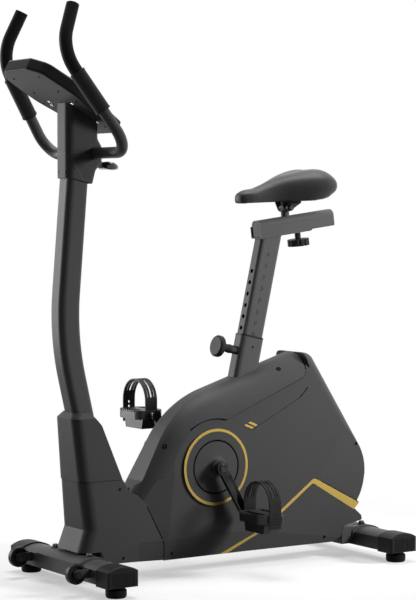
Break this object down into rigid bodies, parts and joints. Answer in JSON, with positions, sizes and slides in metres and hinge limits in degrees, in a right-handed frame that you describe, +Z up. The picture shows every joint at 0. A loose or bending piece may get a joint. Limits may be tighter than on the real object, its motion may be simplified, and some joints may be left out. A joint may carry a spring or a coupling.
{
  "type": "upright exercise bike",
  "caption": "Upright magnetic exercise bike with a moulded drive casing, strapped pedals, a sliding saddle on a pinned post, a curved mast and a tilting loop handlebar under a display console.",
  "frame": {"origin": "on the floor under the middle of the overall length and width", "axes": "+X from the console towards the saddle and rear stabiliser, +Y to the rider's right, +Z up"},
  "size_m": [1.074, 0.49, 1.43],
  "materials": {
    "painted_steel": "satin black powder coat",
    "casing_plastic": "fine matte moulded texture",
    "black_plastic": "matte black",
    "gloss_black": "gloss black",
    "display": "dark display window",
    "gold_trim": "satin gold paint",
    "rubber_black": "matte rubber",
    "grip_foam": "matte foam",
    "seat_cover": "smooth synthetic leather",
    "crank_black": "semi-gloss black",
    "bright_steel": "plated",
    "flywheel_iron": "machined"
  },
  "bodies": {
    "frame": {"base_frame": "painted_steel", "front_stabiliser": "painted_steel", "rear_stabiliser": "painted_steel", "stabiliser_caps": "black_plastic", "frame_bolts": "bright_steel", "wheel_forks": "painted_steel", "mast_socket": "painted_steel", "mast": "painted_steel", "seat_tube": "painted_steel", "post_bush": "black_plastic", "bottom_bracket": "painted_steel", "crank_bearings": "bright_steel", "drive_plates": "painted_steel", "drive_belt": "rubber_black", "casing_left": "casing_plastic", "casing_right": "casing_plastic", "side_trim": "gold_trim", "front_cover": "casing_plastic", "mast_boot": "casing_plastic", "bar_clamp": "painted_steel", "shroud_front": "casing_plastic", "shroud_rear": "casing_plastic", "console_case": "casing_plastic", "console_face": "gloss_black", "console_window": "display", "pin_housing": "bright_steel"},
    "front_left_foot": {"front_foot_left": "rubber_black"},
    "front_right_foot": {"front_foot_right": "rubber_black"},
    "rear_left_foot": {"rear_foot_left": "rubber_black"},
    "rear_right_foot": {"rear_foot_right": "rubber_black"},
    "left_wheel": {"transport_wheel_left": "black_plastic"},
    "right_wheel": {"transport_wheel_right": "black_plastic"},
    "crank": {"crank_axle": "bright_steel", "crank_arms": "crank_black", "crank_discs": "casing_plastic", "crank_pulley": "black_plastic", "pedal_spindles": "bright_steel"},
    "left_pedal": {"pedal_left": "black_plastic", "strap_left": "rubber_black"},
    "right_pedal": {"pedal_right": "black_plastic", "strap_right": "rubber_black"},
    "flywheel": {"flywheel": "flywheel_iron", "flywheel_shaft": "bright_steel"},
    "brake": {"magnet_brake": "flywheel_iron"},
    "seat_post": {"seat_post": "painted_steel", "rail_channel": "painted_steel"},
    "seat_rail": {"seat_rail": "painted_steel"},
    "saddle": {"saddle_clamp": "painted_steel", "saddle_pan": "black_plastic", "saddle_cushion": "seat_cover"},
    "rail_knob": {"rail_knob": "black_plastic"},
    "post_pin": {"pin_shank": "bright_steel", "pin_knob": "black_plastic"},
    "handlebar": {"handlebar": "painted_steel", "grips": "grip_foam", "pulse_sensors": "black_plastic"},
    "bar_knob": {"bar_knob": "black_plastic"},
    "button_down": {"button_down": "black_plastic"},
    "button_mode": {"button_mode": "black_plastic"},
    "button_up": {"button_up": "black_plastic"}
  },
  "joints": [
    {"name": "front_left_foot_turn", "type": "hinge", "parent": "frame", "child": "front_left_foot", "pos_m": [-0.382, -0.21, 0.01], "axis": [0, 0, 1], "continuous": true},
    {"name": "front_right_foot_turn", "type": "hinge", "parent": "frame", "child": "front_right_foot", "pos_m": [-0.382, 0.21, 0.01], "axis": [0, 0, 1], "continuous": true},
    {"name": "rear_left_foot_turn", "type": "hinge", "parent": "frame", "child": "rear_left_foot", "pos_m": [0.4928, -0.197, 0.01], "axis": [0, 0, 1], "continuous": true},
    {"name": "rear_right_foot_turn", "type": "hinge", "parent": "frame", "child": "rear_right_foot", "pos_m": [0.4928, 0.197, 0.01], "axis": [0, 0, 1], "continuous": true},
    {"name": "left_wheel_spin", "type": "hinge", "parent": "frame", "child": "left_wheel", "pos_m": [-0.456, -0.144, 0.054], "axis": [0, 1, 0], "continuous": true},
    {"name": "right_wheel_spin", "type": "hinge", "parent": "frame", "child": "right_wheel", "pos_m": [-0.456, 0.144, 0.054], "axis": [0, 1, 0], "continuous": true},
    {"name": "crank_turn", "type": "hinge", "parent": "frame", "child": "crank", "pos_m": [0, 0, 0.273], "axis": [0, 1, 0], "continuous": true},
    {"name": "left_pedal_spin", "type": "hinge", "parent": "crank", "child": "left_pedal", "pos_m": [0.07, -0.177, 0.15176], "axis": [0, 1, 0], "continuous": true},
    {"name": "right_pedal_spin", "type": "hinge", "parent": "crank", "child": "right_pedal", "pos_m": [-0.07, 0.177, 0.39424], "axis": [0, 1, 0], "continuous": true},
    {"name": "flywheel_spin", "type": "hinge", "parent": "frame", "child": "flywheel", "pos_m": [0.3, 0, 0.232], "axis": [0, 1, 0], "continuous": true},
    {"name": "brake_swing", "type": "hinge", "parent": "frame", "child": "brake", "pos_m": [0.3803, 0, 0.14282], "axis": [0, 1, 0], "range_deg": [0, 6]},
    {"name": "post_slide", "type": "slide", "parent": "frame", "child": "seat_post", "axis": [0.225, 0, 0.9744], "range_m": [-0.2128, 0]},
    {"name": "rail_slide", "type": "slide", "parent": "seat_post", "child": "seat_rail", "axis": [0.9919, 0, 0.1271], "range_m": [-0.03, 0.03]},
    {"name": "saddle_tilt", "type": "hinge", "parent": "seat_rail", "child": "saddle", "pos_m": [0.26922, 0, 0.93799], "axis": [0, 1, 0], "range_deg": [-8, 8]},
    {"name": "rail_knob_turn", "type": "hinge", "parent": "seat_post", "child": "rail_knob", "pos_m": [0.31387, 0, 0.85701], "axis": [-0.1271, 0, 0.9919], "continuous": true},
    {"name": "pin_pull", "type": "slide", "parent": "frame", "child": "post_pin", "axis": [-0.9744, 0, 0.225], "range_m": [0, 0.012], "stiffness_N_per_m": 800, "springref_m": -0.006},
    {"name": "bar_tilt", "type": "hinge", "parent": "frame", "child": "handlebar", "pos_m": [-0.332, 0, 1.071], "axis": [0, 1, 0], "range_deg": [-10, 10]},
    {"name": "bar_knob_turn", "type": "hinge", "parent": "frame", "child": "bar_knob", "pos_m": [-0.274, 0, 1.04], "axis": [0.9903, 0, -0.1392], "continuous": true},
    {"name": "down_press", "type": "slide", "parent": "frame", "child": "button_down", "axis": [-0.5045, 0, -0.8634], "range_m": [0, 0.001], "stiffness_N_per_m": 300, "springref_m": -0.0005},
    {"name": "mode_press", "type": "slide", "parent": "frame", "child": "button_mode", "axis": [-0.5045, 0, -0.8634], "range_m": [0, 0.001], "stiffness_N_per_m": 300, "springref_m": -0.0005},
    {"name": "up_press", "type": "slide", "parent": "frame", "child": "button_up", "axis": [-0.5045, 0, -0.8634], "range_m": [0, 0.001], "stiffness_N_per_m": 300, "springref_m": -0.0005}
  ],
  "couplings": [
    {"joint": "crank_turn", "follows": "flywheel_spin", "ratio": 0.27368}
  ]
}
